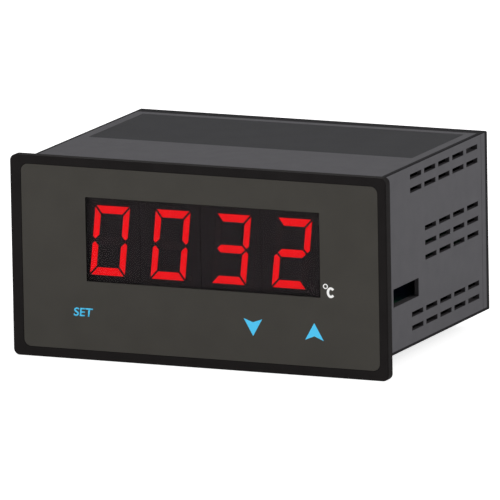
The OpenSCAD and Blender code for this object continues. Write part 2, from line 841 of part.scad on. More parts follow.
module terminal_cages() {
    tail = 1;
    color("goldenrod") at_terminals() {
        difference() {
            span([-cage_w / 2, cage_w / 2], [cage_y, cage_y + cage_l], [cage_z, cage_z + cage_h]);
            translate([0, 0, wire_z])
                span([-wire_entry / 2, wire_entry / 2], [cage_y + 0.8, cage_y + cage_l + cut],
                    [-wire_entry / 2, wire_entry / 2]);
            translate([0, 0, terminal_screw_z])
                rod(terminal_shank_d + 2 * screw_fit, cage_y + 0.8, cage_y + cage_l + cut);
        }
        span([-tail / 2, tail / 2], [cage_y + 1, cage_y + 1 + tail], [deck_z, cage_z + 0.5]);
    }
}

// ---- Power supply ----

// Proportions of an E and I lamination: legs are a sixth of the core's width
leg_w = core_w / 6;
core_window_h = core_h - 2 * leg_w;
core_z = deck_z + 3.2;
bobbin_wall = 1;
bobbin_fit = 0.25;
bobbin_r = leg_w + bobbin_fit + bobbin_wall;
bobbin_dy = core_stack / 2 + bobbin_fit + bobbin_wall;
winding_reach = leg_w - 2 * bobbin_fit - bobbin_wall - 0.3;

module at(place, z) {
    translate([place[0], place[1], z]) children();
}

module transformer_core() {
    color("#6d6a66") at(transformer_at, core_z) difference() {
        translate([-core_w / 2, -core_stack / 2, 0]) cube([core_w, core_stack, core_h]);
        for (s = [-1, 1]) translate([s * 1.5 * leg_w - leg_w / 2, -core_stack / 2 - cut, leg_w])
            cube([leg_w, core_stack + 2 * cut, core_window_h]);
    }
}

// A rectangular tube about the transformer's centre leg
module leg_tube(dx, dy, inner_dx, inner_dy, z0, z1) {
    difference() {
        span([-dx, dx], [-dy, dy], [z0, z1]);
        span([-inner_dx, inner_dx], [-inner_dy, inner_dy], [z0 - cut, z1 + cut]);
    }
}

module transformer_bobbin() {
    z0 = leg_w + bobbin_fit;
    z1 = core_h - leg_w - bobbin_fit;
    hole_x = leg_w + bobbin_fit;
    hole_y = core_stack / 2 + bobbin_fit;
    flange_x = 2 * leg_w - bobbin_fit;
    flange_y = bobbin_dy + winding_reach + 0.8;
    color("#d8d2c4") at(transformer_at, core_z) {
        leg_tube(bobbin_r, bobbin_dy, hole_x, hole_y, z0, z1);
        leg_tube(flange_x, flange_y, hole_x, hole_y, z0, z0 + bobbin_wall);
        leg_tube(flange_x, flange_y, hole_x, hole_y, z1 - bobbin_wall, z1);
        // Pin bars that stand on the board, in front of and behind the core
        for (s = [-1, 1])
            span([-flange_x, flange_x],
                s > 0 ? [hole_y + 0.2, flange_y] : [-flange_y, -hole_y - 0.2],
                [deck_z - core_z, z0 + bobbin_wall / 2]);
    }
}

module transformer_winding() {
    gap = 0.1;
    z0 = leg_w + bobbin_fit + bobbin_wall + gap;
    z1 = core_h - leg_w - bobbin_fit - bobbin_wall - gap;
    color("#e0b83c") at(transformer_at, core_z)
        leg_tube(bobbin_r + winding_reach, bobbin_dy + winding_reach,
            bobbin_r + gap, bobbin_dy + gap, z0, z1);
}

// A standing electrolytic can with its rolled groove and vent cross
module capacitor(d, h) {
    r = d / 2;
    groove_z = 3;
    difference() {
        rotate_extrude() polygon([[0, 0], [r - 0.8, 0], [r, 0.8], [r, groove_z - 1],
            [r - 0.7, groove_z], [r, groove_z + 1], [r, h - 0.8], [r - 0.8, h], [0, h]]);
        for (a = [0, 90]) rotate([0, 0, a])
            translate([-r / 2, -0.2, h - 0.3]) cube([r, 0.4, cut]);
    }
}

module filter_capacitor_large() {
    color("#23304f") at(capacitor_large_at, deck_z) capacitor(capacitor_large_d, capacitor_large_h);
}

module filter_capacitor_small() {
    color("#23304f") at(capacitor_small_at, deck_z) capacitor(capacitor_small_d, capacitor_small_h);
}

module bridge_rectifier() {
    w = 15;
    t = 3.6;
    h = 11;
    lift = 2.5;
    color("#242426") at(bridge_at, deck_z) {
        translate([0, t / 2, lift]) rotate([90, 0, 0]) linear_extrude(t)
            polygon([[-w / 2, 0], [w / 2, 0], [w / 2, h], [-w / 2 + 2.5, h], [-w / 2, h - 2.5]]);
        for (i = [0 : 3]) translate([-5.7 + 3.8 * i - 0.4, -0.3, 0]) cube([0.8, 0.6, lift + 0.3]);
    }
}

regulator_hole_z = 17;
regulator_hole_d = 3.6;
regulator_tab_t = 1.3;

module voltage_regulator() {
    w = 10;
    lift = 4;
    color("#29292b") at(regulator_at, deck_z) {
        difference() {
            translate([-w / 2, -regulator_tab_t, lift]) cube([w, regulator_tab_t, 15.8]);
            translate([0, 0, regulator_hole_z]) rod(regulator_hole_d, -regulator_tab_t - cut, cut);
        }
        translate([-w / 2, -4.4, lift]) cube([w, 4.4, 9]);
        for (i = [-1 : 1]) translate([i * 2.54 - 0.4, -2.6, 0]) cube([0.8, 0.6, lift + 0.3]);
    }
}

module regulator_heat_sink() {
    base_w = 25;
    base_t = 2;
    fin_l = 12;
    fin_t = 1.3;
    fin_pitch = 3.6;
    fins_a_side = 3;
    color("#9a9ca0") at(regulator_at, deck_z) difference() {
        linear_extrude(sink_h) {
            translate([-base_w / 2, 0]) square([base_w, base_t]);
            // Fins on both sides of the flat where the screw sits
            for (s = [-1, 1], i = [0 : fins_a_side - 1])
                translate([s * ((base_w - fin_t) / 2 - i * fin_pitch) - fin_t / 2, base_t / 2])
                    square([fin_t, fin_l]);
        }
        translate([0, 0, regulator_hole_z]) rod(3.2, -cut, base_t + cut);
    }
}

module regulator_screw() {
    y = -regulator_tab_t;
    head_t = 2;
    color("silver") at(regulator_at, deck_z + regulator_hole_z) difference() {
        union() {
            rod(5.4, y - head_t, y);
            rod(3, y - 0.5, 5.4);
            rotate([0, 30, 0]) translate([0, 4.4, 0]) rotate([90, 0, 0])
                cylinder(d = 5.6, h = 2.4, $fn = 6);
        }
        span([-3, 3], [y - head_t - cut, y - head_t + 0.9], [-0.4, 0.4]);
    }
}

module alarm_relay(i) {
    w = 10.2;
    stand = 0.4;
    color("#2b3f7c") at(relay_ats[i], deck_z) {
        translate([0, 0, stand]) linear_extrude(relay_h - stand) round_rect(w, relay_l, 0.8);
        for (x = [-1, 1], y = [-1, 1])
            translate([x * (w / 2 - 1.2) - 0.6, y * (relay_l / 2 - 1.2) - 0.6, 0])
                cube([1.2, 1.2, stand + 0.2]);
    }
}

fuse_d = 5.2;
fuse_l = 20;
fuse_z = 5.2;
fuse_cap_l = 5;

module fuse() {
    color("#c9d2d6") at(fuse_at, deck_z + fuse_z) rotate([0, 90, 0]) {
        translate([0, 0, -fuse_l / 2 + 0.5]) cylinder(d = fuse_d - 0.5, h = fuse_l - 1);
        for (s = [-1, 1])
            translate([0, 0, s * (fuse_l - fuse_cap_l) / 2 - fuse_cap_l / 2])
                cylinder(d = fuse_d, h = fuse_cap_l);
    }
}

module fuse_clips() {
    sheet = 0.5;
    grip = fuse_d / 2 + 0.05;
    color("#c7b37a") at(fuse_at, deck_z + fuse_z) for (s = [-1, 1])
        translate([s * (fuse_l - fuse_cap_l) / 2 - 2, 0, 0]) rotate([90, 0, 90])
            linear_extrude(4) difference() {
                union() {
                    circle(grip + sheet);
                    translate([-1.6, -fuse_z]) square([3.2, fuse_z]);
                }
                circle(grip);
                translate([-1.6, grip / 2]) square([3.2, grip + sheet]);
            }
}

module varistor() {
    d = 10;
    t = 4;
    lift = 3;
    color("#2f6fb0") at(varistor_at, deck_z) {
        translate([0, 0, lift + d / 2]) rod(d, -t / 2, t / 2);
        for (x = [-3.75, 3.75]) translate([x, 0, 0]) cylinder(d = 0.8, h = lift + d / 4 + 0.5);
    }
}

module controller_chip() {
    color("#202024") at(controller_at, deck_z) chip(chip_wide_w, 28);
}

module crystal() {
    color("silver") at(crystal_at, deck_z) {
        linear_extrude(3.5) {
            square([6.6, 4.6], center = true);
            for (s = [-1, 1]) translate([s * 3.3, 0]) circle(2.3);
        }
    }
}

module input_amplifier_chip() {
    color("#202024") at(amplifier_at, deck_z) chip(chip_narrow_w, 14);
}

front_bezel();
front_film();
display_pane();
bezel_screws();
key_button(set_key_x);  // set_button
key_button(down_key_x);  // down_button
key_button(up_key_x);  // up_button
switch_plunger(set_key_x);  // set_switch_plunger
switch_plunger(down_key_x);  // down_switch_plunger
switch_plunger(up_key_x);  // up_switch_plunger
switch_base(set_key_x);  // set_switch_base
switch_base(down_key_x);  // down_switch_base
switch_base(up_key_x);  // up_switch_base
switch_domes();
display_board();
display_board_screws();
digit_housing(0);  // digit_1_housing
digit_housing(1);  // digit_2_housing
digit_housing(2);  // digit_3_housing
digit_housing(3);  // digit_4_housing
digit_segments(0);  // digit_1_segments
digit_segments(1);  // digit_2_segments
digit_segments(2);  // digit_3_segments
digit_segments(3);  // digit_4_segments
segment_driver_chips();
link_socket();
case();
top_label();
rear_cover();
rear_cover_screws();
main_board();
link_header();
terminal_block(-block_x);  // terminal_block_left
terminal_block(block_x);  // terminal_block_right
terminal_screws();
terminal_cages();
transformer_core();
transformer_bobbin();
transformer_winding();
filter_capacitor_large();
filter_capacitor_small();
bridge_rectifier();
voltage_regulator();
regulator_heat_sink();
regulator_screw();
alarm_relay(0);  // alarm_relay_1
alarm_relay(1);  // alarm_relay_2
fuse();
fuse_clips();
varistor();
controller_chip();
crystal();
input_amplifier_chip();
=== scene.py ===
import math

import bmesh
import bpy
from mathutils import Matrix, Vector


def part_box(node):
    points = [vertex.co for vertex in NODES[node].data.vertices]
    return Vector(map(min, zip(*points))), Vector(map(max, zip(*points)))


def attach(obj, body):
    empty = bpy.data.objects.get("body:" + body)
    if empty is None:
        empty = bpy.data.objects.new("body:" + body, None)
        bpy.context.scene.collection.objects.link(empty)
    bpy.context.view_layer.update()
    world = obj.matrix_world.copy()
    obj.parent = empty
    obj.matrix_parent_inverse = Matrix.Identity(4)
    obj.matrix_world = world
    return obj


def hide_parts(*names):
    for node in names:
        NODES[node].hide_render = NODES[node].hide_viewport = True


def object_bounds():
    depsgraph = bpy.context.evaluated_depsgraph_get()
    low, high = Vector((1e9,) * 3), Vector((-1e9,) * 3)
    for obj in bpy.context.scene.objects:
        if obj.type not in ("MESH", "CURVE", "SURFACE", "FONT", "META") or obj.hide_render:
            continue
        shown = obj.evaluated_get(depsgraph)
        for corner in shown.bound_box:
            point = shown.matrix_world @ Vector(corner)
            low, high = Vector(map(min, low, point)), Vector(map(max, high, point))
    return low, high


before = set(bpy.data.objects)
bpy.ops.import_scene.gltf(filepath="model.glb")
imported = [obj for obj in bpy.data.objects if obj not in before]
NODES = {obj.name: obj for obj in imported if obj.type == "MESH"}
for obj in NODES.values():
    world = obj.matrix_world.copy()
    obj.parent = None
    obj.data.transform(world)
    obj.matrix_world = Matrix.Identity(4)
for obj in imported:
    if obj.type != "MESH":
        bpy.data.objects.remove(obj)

CAD_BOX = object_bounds()
MM = 0.001

# What the display shows, and the bars that are lit for each figure
READING = "0032"
BARS = {
    "0": {"top", "upper_left", "upper_right", "lower_left", "lower_right", "bottom"},
    "2": {"top", "upper_right", "middle", "lower_left", "bottom"},
    "3": {"top", "upper_right", "middle", "lower_right", "bottom"},
}
DIGIT_LEAN = math.radians(6)
# Width of the bevel along a light bar's edges, in millimetres
BAR_SOFTENING = 0.14


def srgb(red, green, blue):
    """A colour given by its eight-bit display values, as linear RGBA."""
    linear = [
        v / 12.92 if v <= 0.04045 else ((v + 0.055) / 1.055) ** 2.4
        for v in (red / 255, green / 255, blue / 255)
    ]
    return (*linear, 1.0)


def shade(colour, factor):
    """The colour made lighter or darker."""
    return (*(min(1.0, c * factor) for c in colour[:3]), 1.0)


# ---- Materials ----


class Finish:
    """A Principled material and the texture nodes that drive it. Sizes are in millimetres."""

    def __init__(self, name, **sockets):
        self.material = bpy.data.materials.new(name)
        self.material.use_nodes = True
        self.tree = self.material.node_tree
        self.shader = self.tree.nodes["Principled BSDF"]
        self.place = self.add("ShaderNodeTexCoord").outputs["Object"]
        for socket, value in sockets.items():
            self.put(self.shader.inputs[socket.replace("_", " ")], value)

    def put(self, socket, value):
        """Links the socket to another, or sets its value."""
        if isinstance(value, bpy.types.NodeSocket):
            self.tree.links.new(value, socket)
        else:
            socket.default_value = value

    def add(self, kind, inputs=None, **settings):
        """A new node with its settings made and its inputs filled."""
        node = self.tree.nodes.new(kind)
        for key, value in settings.items():
            setattr(node, key, value)
        for key, value in (inputs or {}).items():
            self.put(node.inputs[key], value)
        return node

    def maths(self, operation, first, second=0.0):
        """The result of one operation on one or two values."""
        node = self.add("ShaderNodeMath", {0: first, 1: second}, operation=operation)
        return node.outputs[0]

    def stretched(self, stretch):
        """The surface point with each coordinate scaled, which draws a texture out."""
        node = self.add("ShaderNodeMapping", {"Vector": self.place, "Scale": stretch})
        return node.outputs["Vector"]

    def noise(self, size, detail=2.0, stretch=None):
        """Cloudy noise whose features are about size across."""
        inputs = {
            "Vector": self.stretched(stretch) if stretch else self.place,
            "Scale": 1 / (size * MM),
            "Detail": detail,
        }
        return self.add("ShaderNodeTexNoise", inputs).outputs["Fac"]

    def cells(self, size, metric="EUCLIDEAN", feature="F1"):
        """Cells about size across, as a node that gives the distance to their points."""
        node = self.add("ShaderNodeTexVoronoi", distance=metric, feature=feature)
        self.put(node.inputs["Vector"], self.place)
        self.put(node.inputs["Scale"], 1 / (size * MM))
        return node

    def bands(self, size, axis, distortion=0.0):
        """Parallel bands across one axis, one to each size."""
        band_at_unit_scale = math.tau / 20
        inputs = {
            "Vector": self.place,
            "Scale": band_at_unit_scale / (size * MM),
            "Distortion": distortion,
        }
        node = self.add("ShaderNodeTexWave", inputs, bands_direction=axis)
        return node.outputs["Fac"]

    def remap(self, value, low, high, to_low=0.0, to_high=1.0):
        """Carries one range over to another and holds the value within it."""
        inputs = {0: value, 1: low, 2: high, 3: to_low, 4: to_high}
        return self.add("ShaderNodeMapRange", inputs, clamp=True).outputs[0]

    def spread(self, noise, low=0.0, high=1.0):
        """The middle of a noise, spread over a range."""
        return self.remap(noise, 0.3, 0.7, low, high)

    def mottled(self, noise, colour, amount):
        """The colour, a little darker and lighter where the noise says."""
        return self.blend(self.spread(noise), shade(colour, 1 - amount), shade(colour, 1 + amount))

    def blend(self, factor, first, second):
        """The first colour at 0, the second at 1."""
        node = self.add("ShaderNodeMix", data_type="RGBA")
        for socket, value in ((0, factor), (6, first), (7, second)):
            self.put(node.inputs[socket], value)
        return node.outputs[2]

    def bump(self, height, depth, normal=None):
        """Normals of a relief so many millimetres deep, over other normals if they are given."""
        inputs = {"Height": height, "Distance": depth * MM, "Strength": 1.0}
        if normal is not None:
            inputs["Normal"] = normal
        return self.add("ShaderNodeBump", inputs).outputs["Normal"]

    def rounded(self, radius):
        """Normals that round off sharp edges, and a mask that is 1 on those edges."""
        normal = self.add("ShaderNodeBevel", {"Radius": radius * MM}, samples=6).outputs[0]
        flat = self.add("ShaderNodeNewGeometry").outputs["Normal"]
        dot = self.add("ShaderNodeVectorMath", {0: normal, 1: flat}, operation="DOT_PRODUCT")
        return normal, self.remap(dot.outputs["Value"], 0.995, 0.8)

    def axis(self, index):
        """One coordinate of the surface point, in metres."""
        node = self.add("ShaderNodeSeparateXYZ", {0: self.place})
        return node.outputs[index]

    def faces_along(self, index):
        """1 on faces that look along one axis, either way, and 0 on those across it."""
        normal = self.add("ShaderNodeNewGeometry").outputs["Normal"]
        node = self.add("ShaderNodeSeparateXYZ", {0: normal})
        size = self.maths("ABSOLUTE", node.outputs[index])
        return self.maths("GREATER_THAN", size, 0.7)

    def between(self, value, low, high):
        """1 where the value lies between two limits, in millimetres, and 0 elsewhere."""
        above = self.maths("GREATER_THAN", value, low * MM)
        below = self.maths("LESS_THAN", value, high * MM)
        return self.maths("MULTIPLY", above, below)

    def set(self, **sockets):
        """Fills sockets of the shader and hands over the material."""
        for socket, value in sockets.items():
            self.put(self.shader.inputs[socket.replace("_", " ")], value)
        return self.material


def moulded(name, colour, grain=0.3, depth=0.012, rough=(0.42, 0.56), edge=0.25, worn=1.5,
            level=0.3, mottle=0.08, overlay=None):
    """Moulded plastic: a fine eroded grain, faint mottling and slightly polished edges."""
    finish = Finish(name, Specular_IOR_Level=level)
    cloud = finish.noise(9.0, 3.0)
    fine = finish.noise(grain, 3.0)
    pits = finish.cells(grain * 1.7, feature="SMOOTH_F1").outputs["Distance"]
    height = finish.maths("ADD", fine, finish.maths("MULTIPLY", pits, 0.6))
    normal, mask = finish.rounded(edge)
    base = finish.mottled(cloud, colour, mottle)
    rubbed = finish.maths("MULTIPLY", mask, finish.remap(finish.noise(2.5), 0.35, 0.7, 0.1, 0.8))
    base = finish.blend(rubbed, base, shade(colour, worn))
    if overlay:
        base = overlay(finish, base)
    return finish.set(
        Base_Color=base,
        Roughness=finish.spread(fine, *rough),
        Normal=finish.bump(height, depth, normal),
    )


def painted_cut_shade_and_dark_trim(finish, base):
    """Painted shade in the case's cuts and inside it, dark lines along the long edges of its sides,
    a dark seam at the rear cover and a black band round the rear end.
    """
    low, high = (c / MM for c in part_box("case"))
    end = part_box("rear_cover")[1].y / MM
    shade_inset, shade_inset_above, seam_half = 0.25, 0.6, 0.12
    end_rim, end_rim_above = 3.0, 7.0
    edge_in, edge_down, edge_up = 2.2, 0.35, 1.6
    x = finish.maths("ABSOLUTE", finish.axis(0))
    y, z = finish.axis(1), finish.axis(2)
    # Painted shade goes on everything deeper than the outer faces: the cuts through the walls and
    # the inside of the case
    painted_cut_shade = finish.maths("MULTIPLY", finish.maths("LESS_THAN", x, (high.x - shade_inset) * MM),
                        finish.between(z, low.z + shade_inset, high.z - shade_inset_above))
    flank = finish.between(z, low.z + edge_up, high.z - edge_down)
    edges = finish.maths("GREATER_THAN", finish.maths("SUBTRACT", x, flank),
                         (high.x - edge_in) * MM)
    seam = finish.between(y, high.y - seam_half, high.y + seam_half)
    above = finish.maths("GREATER_THAN", z, (high.z - edge_down) * MM)
    wider = finish.maths("MULTIPLY", above, (end_rim_above - end_rim) * MM)
    rim = finish.maths("GREATER_THAN", finish.maths("ADD", y, wider), (end - end_rim) * MM)
    # Painted shade: the cuts and the inside are coloured darker than the case's grey, where shade
    # falls in them
    base = finish.blend(painted_cut_shade, base, srgb(60, 58, 60))
    for part in (edges, seam, rim):
        base = finish.blend(part, base, srgb(28, 27, 29))
    return base


def film_finish():
    """Velvet-textured polycarbonate film, printed on its back."""
    colour = srgb(61, 59, 55)
    finish = Finish("graphic_film", Specular_IOR_Level=0.08)
    fine = finish.noise(0.16, 2.0)
    wave = finish.noise(28.0, 1.0)
    return finish.set(
        Base_Color=finish.mottled(finish.noise(14.0, 3.0), colour, 0.05),
        Roughness=finish.spread(fine, 0.42, 0.58),
        Normal=finish.bump(fine, 0.004, finish.bump(wave, 0.05)),
    )


def ink(name, colour):
    """Screen-printed ink with a faintly uneven body."""
    finish = Finish(name, Specular_IOR_Level=0.2)
    grain = finish.noise(0.25, 3.0)
    return finish.set(
        Base_Color=finish.blend(grain, shade(colour, 0.94), shade(colour, 1.04)),
        Roughness=finish.spread(grain, 0.45, 0.6),
        Normal=finish.bump(grain, 0.004),
    )


def pane_finish():
    """Smoke-tinted acrylic with an anti-glare face and blackened edges."""
    finish = Finish("smoked_acrylic", Transmission_Weight=1.0, IOR=1.0, Coat_Weight=0.1,
                    Coat_Roughness=0.5)
    haze = finish.noise(0.4, 2.0)
    tint = finish.blend(finish.noise(20.0), (0.56, 0.48, 0.49, 1), (0.60, 0.52, 0.53, 1))
    return finish.set(
        Base_Color=finish.blend(finish.faces_along(1), (0, 0, 0, 1), tint),
        Roughness=finish.spread(haze, 0.02, 0.03),
    )


def lit_bar():
    """A diffusing light bar that glows a faintly uneven red."""
    colour = srgb(240, 6, 16)
    finish = Finish("light_bar_lit", Base_Color=srgb(80, 3, 5), Emission_Strength=1.55,
                    Specular_IOR_Level=0.1)
    cloud = finish.noise(3.0, 2.0)
    grain = finish.noise(0.3, 2.0)
    return finish.set(
        Emission_Color=finish.blend(finish.spread(cloud), shade(colour, 0.88), colour),
        Roughness=finish.spread(grain, 0.3, 0.45),
        Normal=finish.bump(grain, 0.01),
    )


def dark_bar():
    """The same light bar, unlit: smoky resin that all but vanishes in its housing."""
    finish = Finish("light_bar_unlit", Specular_IOR_Level=0.1)
    grain = finish.noise(0.3, 2.0)
    return finish.set(
        Base_Color=finish.blend(grain, srgb(33, 32, 34), srgb(37, 35, 37)),
        Roughness=finish.spread(grain, 0.35, 0.5),
        Normal=finish.bump(grain, 0.01),
    )


def metal(name, colour, rough=(0.22, 0.38), stretch=(1, 1, 1)):
    """Bare or plated metal with fine drawing marks, uneven polish and painted shade in its
    recesses.
    """
    finish = Finish(name, Metallic=1.0)
    open_sky = finish.add("ShaderNodeAmbientOcclusion", {"Distance": 1.5 * MM}, samples=8)
    marks = finish.noise(0.4, 3.0, stretch)
    cloud = finish.noise(2.2, 3.0)
    normal, mask = finish.rounded(0.12)
    base = finish.blend(finish.remap(cloud, 0.35, 0.7), shade(colour, 0.78), colour)
    base = finish.blend(mask, base, shade(colour, 1.15))
    # Painted shade: where ambient occlusion finds a recess, the colour is darkened
    painted_recess_shade = finish.remap(open_sky.outputs["AO"], 0.9, 0.45)
    base = finish.blend(painted_recess_shade, base, shade(colour, 0.15))
    return finish.set(
        Base_Color=base,
        Roughness=finish.spread(marks, *rough),
        Normal=finish.bump(marks, 0.004, normal),
    )


def glossy(name, colour, rough=(0.18, 0.3), grain=0.8, depth=0.01):
    """Smooth dipped or shrunk plastic with a soft orange peel."""
    finish = Finish(name, Specular_IOR_Level=0.4)
    peel = finish.noise(grain, 2.0)
    cloud = finish.noise(5.0, 2.0)
    normal, _ = finish.rounded(0.2)
    return finish.set(
        Base_Color=finish.blend(cloud, shade(colour, 0.92), shade(colour, 1.08)),
        Roughness=finish.spread(peel, *rough),
        Normal=finish.bump(peel, depth, normal),
    )


def board():
    """Solder mask over copper tracks on glass laminate."""
    track_pitch = 3.4
    finish = Finish("circuit_board", Specular_IOR_Level=0.45)
    far = finish.cells(track_pitch, "CHEBYCHEV", "F2").outputs["Distance"]
    near = finish.cells(track_pitch, "CHEBYCHEV").outputs["Distance"]
    track = finish.remap(finish.maths("SUBTRACT", far, near), 0.1, 0.14)
    weave = finish.noise(0.5, 2.0)
    base = finish.blend(track, srgb(26, 76, 46), srgb(14, 50, 32))
    base = finish.blend(finish.remap(weave, 0.2, 1.0, 0.0, 0.25), base, srgb(38, 68, 46))
    return finish.set(
        Base_Color=base,
        Roughness=finish.spread(weave, 0.28, 0.4),
        Normal=finish.bump(track, 0.035),
    )


def laminations():
    """A stack of varnished steel sheets, seen as thin lines round the core."""
    colour = srgb(104, 101, 97)
    finish = Finish("varnished_laminations", Metallic=0.55, Coat_Weight=0.35)
    sheet_pitch = 0.5
    sheets = finish.bands(sheet_pitch, "Y", 0.3)
    rust = finish.noise(2.5, 4.0)
    base = finish.blend(sheets, shade(colour, 0.6), colour)
    base = finish.blend(finish.remap(rust, 0.58, 0.8, 0.0, 0.5), base, srgb(98, 66, 48))
    return finish.set(
        Base_Color=base,
        Roughness=finish.spread(rust, 0.35, 0.6),
        Normal=finish.bump(sheets, 0.05),
    )


def wound_tape():
    """Polyester tape over the windings, lapped in turns."""
    finish = Finish("winding_tape_lapped", Coat_Weight=0.3)
    lap_pitch, wire_pitch = 4.5, 0.55
    laps = finish.bands(lap_pitch, "Z", 1.2)
    wire = finish.bands(wire_pitch, "Z", 0.2)
    base = finish.blend(laps, srgb(196, 150, 44), srgb(226, 188, 70))
    height = finish.maths("ADD", laps, finish.maths("MULTIPLY", wire, 0.4))
    return finish.set(
        Base_Color=base,
        Roughness=finish.spread(finish.noise(3.0), 0.25, 0.45),
        Normal=finish.bump(height, 0.06),
    )


def capacitor_sleeve(name, node):
    """A striped plastic sleeve round an aluminium can that is bare at its top."""
    low, high = (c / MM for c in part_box(node))
    bare_top, stripe_share = 0.35, 0.2
    stripe_x = low.x + stripe_share * (high.x - low.x)
    finish = Finish(name, Specular_IOR_Level=0.4)
    top = finish.between(finish.axis(2), high.z - bare_top, high.z + 1)
    stripe = finish.between(finish.axis(0), low.x - 1, stripe_x)
    peel = finish.noise(1.2, 2.0)
    sleeve = finish.blend(peel, srgb(30, 42, 74), srgb(38, 52, 86))
    base = finish.blend(stripe, sleeve, srgb(176, 182, 190))
    return finish.set(
        Base_Color=finish.blend(top, base, srgb(196, 196, 194)),
        Metallic=top,
        Roughness=finish.spread(peel, 0.22, 0.36),
        Normal=finish.bump(peel, 0.015, finish.rounded(0.25)[0]),
    )


def fuse_finish():
    """A glass tube between two plated caps."""
    low, high = (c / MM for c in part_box("fuse"))
    cap_length = 5
    finish = Finish("fuse_tube", IOR=1.5)
    glass = finish.between(finish.axis(0), low.x + cap_length, high.x - cap_length)
    marks = finish.noise(0.5, 2.0)
    base = finish.blend(marks, srgb(188, 186, 178), srgb(214, 212, 204))
    return finish.set(
        Base_Color=finish.blend(glass, base, srgb(226, 234, 232)),
        Metallic=finish.maths("SUBTRACT", 1.0, glass),
        Transmission_Weight=glass,
        Roughness=finish.spread(marks, 0.08, 0.2),
        Normal=finish.bump(marks, 0.004),
    )


def header_finish():
    """Plated pins through a black moulded bar."""
    board_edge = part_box("main_board")[0].y / MM
    bar_from, bar_to = 0.99, 3.51
    finish = Finish("header_pins")
    bar = finish.between(finish.axis(1), board_edge + bar_from, board_edge + bar_to)
    grain = finish.noise(0.4, 2.0)
    pins = finish.blend(grain, srgb(206, 170, 84), srgb(226, 192, 110))
    return finish.set(
        Base_Color=finish.blend(bar, pins, srgb(26, 26, 28)),
        Metallic=finish.maths("SUBTRACT", 1.0, bar),
        Roughness=finish.spread(grain, 0.25, 0.4),
        Normal=finish.bump(grain, 0.006),
    )


def label_finish():
    """A bare satin polyester label."""
    colour = srgb(53, 53, 55)
    finish = Finish("bare_label", Specular_IOR_Level=0.03)
    fine = finish.noise(0.2, 3.0)
    cloud = finish.noise(16.0, 3.0)
    return finish.set(
        Base_Color=finish.mottled(cloud, colour, 0.05),
        Roughness=finish.spread(fine, 0.62, 0.75),
        Normal=finish.bump(fine, 0.004, finish.bump(cloud, 0.04)),
    )


steel = metal("zinc_plated_steel", srgb(182, 182, 179))
case_plastic = moulded("case_plastic", srgb(88, 87, 90), grain=0.45, depth=0.02,
                       rough=(0.7, 0.85), level=0.04, worn=1.1, mottle=0.04,
                       overlay=painted_cut_shade_and_dark_trim)
chip_epoxy = moulded("chip_epoxy", srgb(30, 30, 33), grain=0.2, depth=0.01, edge=0.15)
terminal_plastic = moulded("terminal_plastic", srgb(38, 88, 60), grain=0.3, edge=0.2)
key_plastic = moulded("key_plastic", srgb(44, 42, 42), grain=0.25, edge=0.2)
housing = moulded("display_housing", srgb(33, 34, 36), grain=0.9, depth=0.004, level=0.05,
                  worn=1.1, mottle=0.05)
green_board = board()
MATERIALS = {
    "front_bezel": moulded("bezel_plastic", srgb(30, 28, 28), grain=0.35, depth=0.014,
                           rough=(0.6, 0.72), edge=0.35, worn=1.1, level=0.02),
    "front_film": film_finish(),
    "display_pane": pane_finish(),
    "bezel_screws": steel,
    "display_board_screws": steel,
    "rear_cover_screws": steel,
    "terminal_screws": steel,
    "regulator_screw": steel,
    "switch_domes": metal("spring_steel", srgb(216, 216, 214), rough=(0.15, 0.25)),
    "display_board": green_board,
    "main_board": green_board,
    "segment_driver_chips": chip_epoxy,
    "controller_chip": chip_epoxy,
    "input_amplifier_chip": chip_epoxy,
    "bridge_rectifier": chip_epoxy,
    "voltage_regulator": chip_epoxy,
    "link_socket": chip_epoxy,
    "link_header": header_finish(),
    "case": case_plastic,
    "rear_cover": case_plastic,
    "top_label": label_finish(),
    "terminal_block_left": terminal_plastic,
    "terminal_block_right": terminal_plastic,
    "terminal_cages": metal("plated_brass", srgb(204, 178, 112)),
    "fuse_clips": metal("clip_brass", srgb(204, 182, 124)),
    "transformer_core": laminations(),
    "transformer_bobbin": moulded("bobbin_nylon", srgb(212, 206, 190), grain=0.5, worn=1.05),
    "transformer_winding": wound_tape(),
    "filter_capacitor_large": capacitor_sleeve("large_sleeve", "filter_capacitor_large"),
    "filter_capacitor_small": capacitor_sleeve("small_sleeve", "filter_capacitor_small"),
    "regulator_heat_sink": metal("extruded_aluminium", srgb(172, 174, 178), (0.3, 0.48),
                                 (1, 1, 0.05)),
    "alarm_relay_1": glossy("relay_cover", srgb(42, 62, 122)),
    "alarm_relay_2": glossy("relay_cover_2", srgb(42, 62, 122)),
    "fuse": fuse_finish(),
    "varistor": glossy("varistor_coating", srgb(46, 108, 170), (0.25, 0.4), 1.4, 0.05),
    "crystal": metal("crystal_can", srgb(210, 210, 206), (0.12, 0.25)),
}
for key in ("set", "down", "up"):
    MATERIALS[key + "_button"] = key_plastic
    MATERIALS[key + "_switch_plunger"] = key_plastic
    MATERIALS[key + "_switch_base"] = housing
for i in range(1, len(READING) + 1):
    MATERIALS[f"digit_{i}_housing"] = housing
for name, material in MATERIALS.items():
    NODES[name].data.materials.clear()
    NODES[name].data.materials.append(material)


# ---- Pieces made here ----


def add_mesh(name, mesh, body="root"):
    """A piece made from a mesh, carried by a body."""
    piece = bpy.data.objects.new(name, mesh)
    bpy.context.scene.collection.objects.link(piece)
    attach(piece, body)
    return piece


def islands(bm):
    """The separate solids of a mesh, each as a list of its faces."""
    left = set(bm.faces)
    while left:
        todo = [left.pop()]
        found = []
        while todo:
            face = todo.pop()
            found.append(face)
            for edge in face.edges:
                for other in edge.link_faces:
                    if other in left:
                        left.remove(other)
                        todo.append(other)
        yield found


